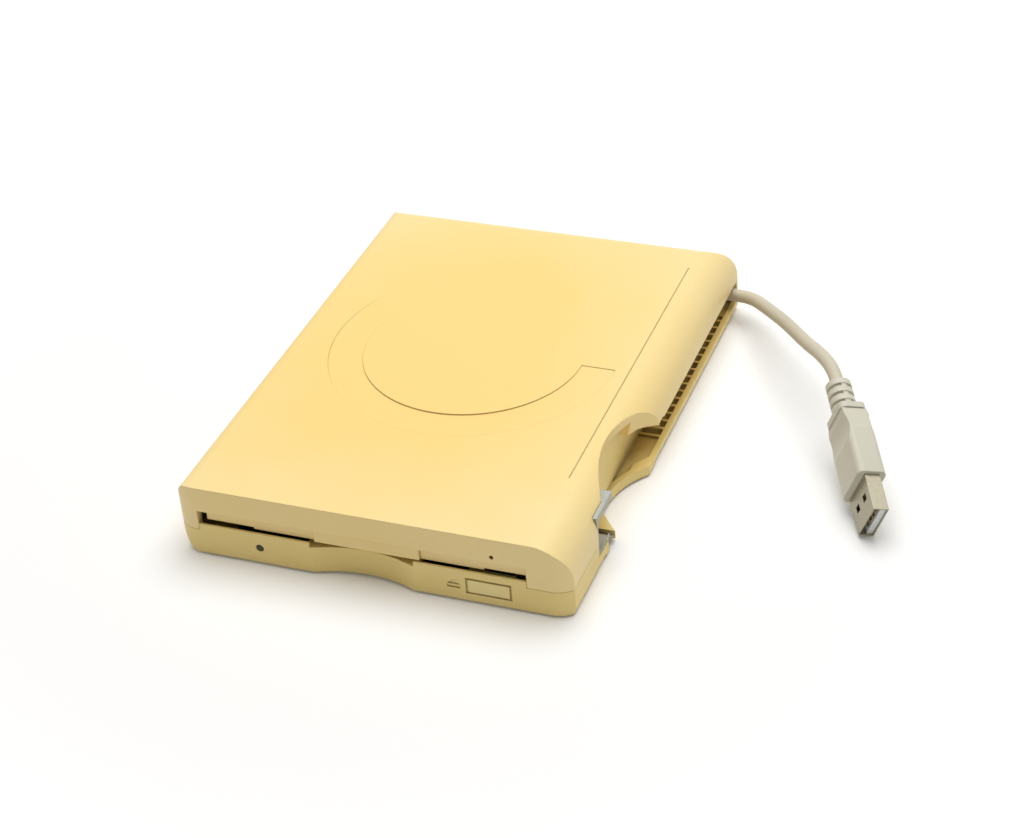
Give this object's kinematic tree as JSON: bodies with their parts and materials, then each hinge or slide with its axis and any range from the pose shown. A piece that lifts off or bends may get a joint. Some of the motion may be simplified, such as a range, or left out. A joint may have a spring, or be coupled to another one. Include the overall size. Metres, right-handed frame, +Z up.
{
  "type": "external floppy disk drive",
  "caption": "Flat desktop floppy disk drive with a sprung slot flap, loading mechanism and a short USB cord that stows in a channel along its side.",
  "frame": {"origin": "on the table, under the centre of the case's footprint", "axes": "+Z up, front with the disk slot towards -Y, cord channel along the +X side"},
  "size_m": [0.1881, 0.16, 0.0238],
  "materials": {
    "case_top": "yellowed cream, fine satin grain",
    "case_bottom": "yellowed beige, fine satin grain",
    "button": "satin",
    "lamp": "clear, slightly milky, unlit",
    "dark_plastic": "moulded",
    "white_plastic": "moulded",
    "cord_grey": "soft satin",
    "cord_skin": "soft satin",
    "rubber": "matt",
    "steel": "turned or drawn",
    "sheet_steel": "rolled sheet",
    "contact_gold": "plated",
    "copper": "enamelled wire",
    "magnet": "sintered",
    "carriage_alloy": "die cast",
    "head_ceramic": "ground",
    "board": "solder mask",
    "ribbon": "flat cable"
  },
  "bodies": {
    "case": {"top_shell": "case_top", "bottom_shell": "case_bottom", "flap_pins": "steel", "flap_spring": "steel", "busy_lamp": "lamp", "lamp_diode": "lamp", "eject_switch": "dark_plastic", "plug_dock": "sheet_steel", "plug_shell": "sheet_steel", "plug_tongue": "white_plastic", "plug_contacts": "contact_gold", "plug_body": "cord_grey", "cord_sleeve": "cord_grey", "usb_cord": "cord_skin", "cord_gland": "cord_skin", "cord_braid": "steel", "cord_connector": "white_plastic", "rubber_feet": "rubber", "mount_grommets": "rubber", "mount_screws": "steel", "case_screws": "steel", "main_board": "board", "board_chips": "dark_plastic", "interface_board": "board", "bridge_chip": "dark_plastic", "board_ribbon": "ribbon", "chassis": "sheet_steel", "mechanism_cover": "sheet_steel", "spindle_stator": "steel", "spindle_bearing": "contact_gold", "spindle_coils": "copper", "guide_rods": "steel", "rod_clamps": "dark_plastic", "drive_yokes": "steel", "drive_magnets": "magnet", "gear_post": "steel", "eject_motor": "steel"},
    "flap": {"disk_flap": "case_top"},
    "button": {"eject_button": "button", "switch_plunger": "dark_plastic"},
    "slide": {"slide_plate": "sheet_steel"},
    "carrier": {"disk_carrier": "sheet_steel"},
    "gear": {"eject_gear": "white_plastic"},
    "pinion": {"motor_pinion": "contact_gold"},
    "spindle": {"spindle_rotor": "steel", "spindle_magnet": "magnet", "spindle_shaft": "steel"},
    "carriage": {"head_carriage": "carriage_alloy", "lower_head": "head_ceramic", "arm_pin": "steel", "drive_coils": "copper"},
    "head_arm": {"upper_arm": "carriage_alloy", "upper_head": "head_ceramic"}
  },
  "joints": [
    {"name": "flap_hinge", "type": "hinge", "parent": "case", "child": "flap", "pos_m": [-0.00265, -0.0777, 0.0169], "axis": [1, 0, 0], "range_deg": [0, 88], "stiffness_Nm_per_rad": 0.0004, "springref_deg": -28.65},
    {"name": "button_press", "type": "slide", "parent": "case", "child": "button", "axis": [0, 1, 0], "range_m": [0, 0.0006], "stiffness_N_per_m": 200, "springref_m": -0.001},
    {"name": "slide_travel", "type": "slide", "parent": "case", "child": "slide", "axis": [0, 1, 0], "range_m": [0, 0.006]},
    {"name": "carrier_drop", "type": "slide", "parent": "case", "child": "carrier", "axis": [0, 0, -1], "range_m": [0, 0.0022]},
    {"name": "gear_turn", "type": "hinge", "parent": "case", "child": "gear", "pos_m": [0.0345, 0.036, 0.012], "axis": [0, 0, 1], "range_deg": [0, 114.7]},
    {"name": "pinion_turn", "type": "hinge", "parent": "case", "child": "pinion", "pos_m": [0.0295, 0.02734, 0.016], "axis": [0, 0, 1], "range_deg": [-344, 0]},
    {"name": "spindle_spin", "type": "hinge", "parent": "case", "child": "spindle", "pos_m": [-0.00305, -0.029, 0.008], "axis": [0, 0, 1], "continuous": true},
    {"name": "carriage_travel", "type": "slide", "parent": "case", "child": "carriage", "axis": [0, 1, 0], "range_m": [-0.017, 0]},
    {"name": "arm_lower", "type": "hinge", "parent": "carriage", "child": "head_arm", "pos_m": [-0.00305, 0.0495, 0.0154], "axis": [1, 0, 0], "range_deg": [0, 6.81]}
  ],
  "couplings": [
    {"joint": "carrier_drop", "follows": "slide_travel", "ratio": 0.36667},
    {"joint": "gear_turn", "follows": "slide_travel", "rad_per_m": 333.33},
    {"joint": "pinion_turn", "follows": "slide_travel", "rad_per_m": -1000},
    {"joint": "arm_lower", "follows": "slide_travel", "rad_per_m": 19.78}
  ]
}
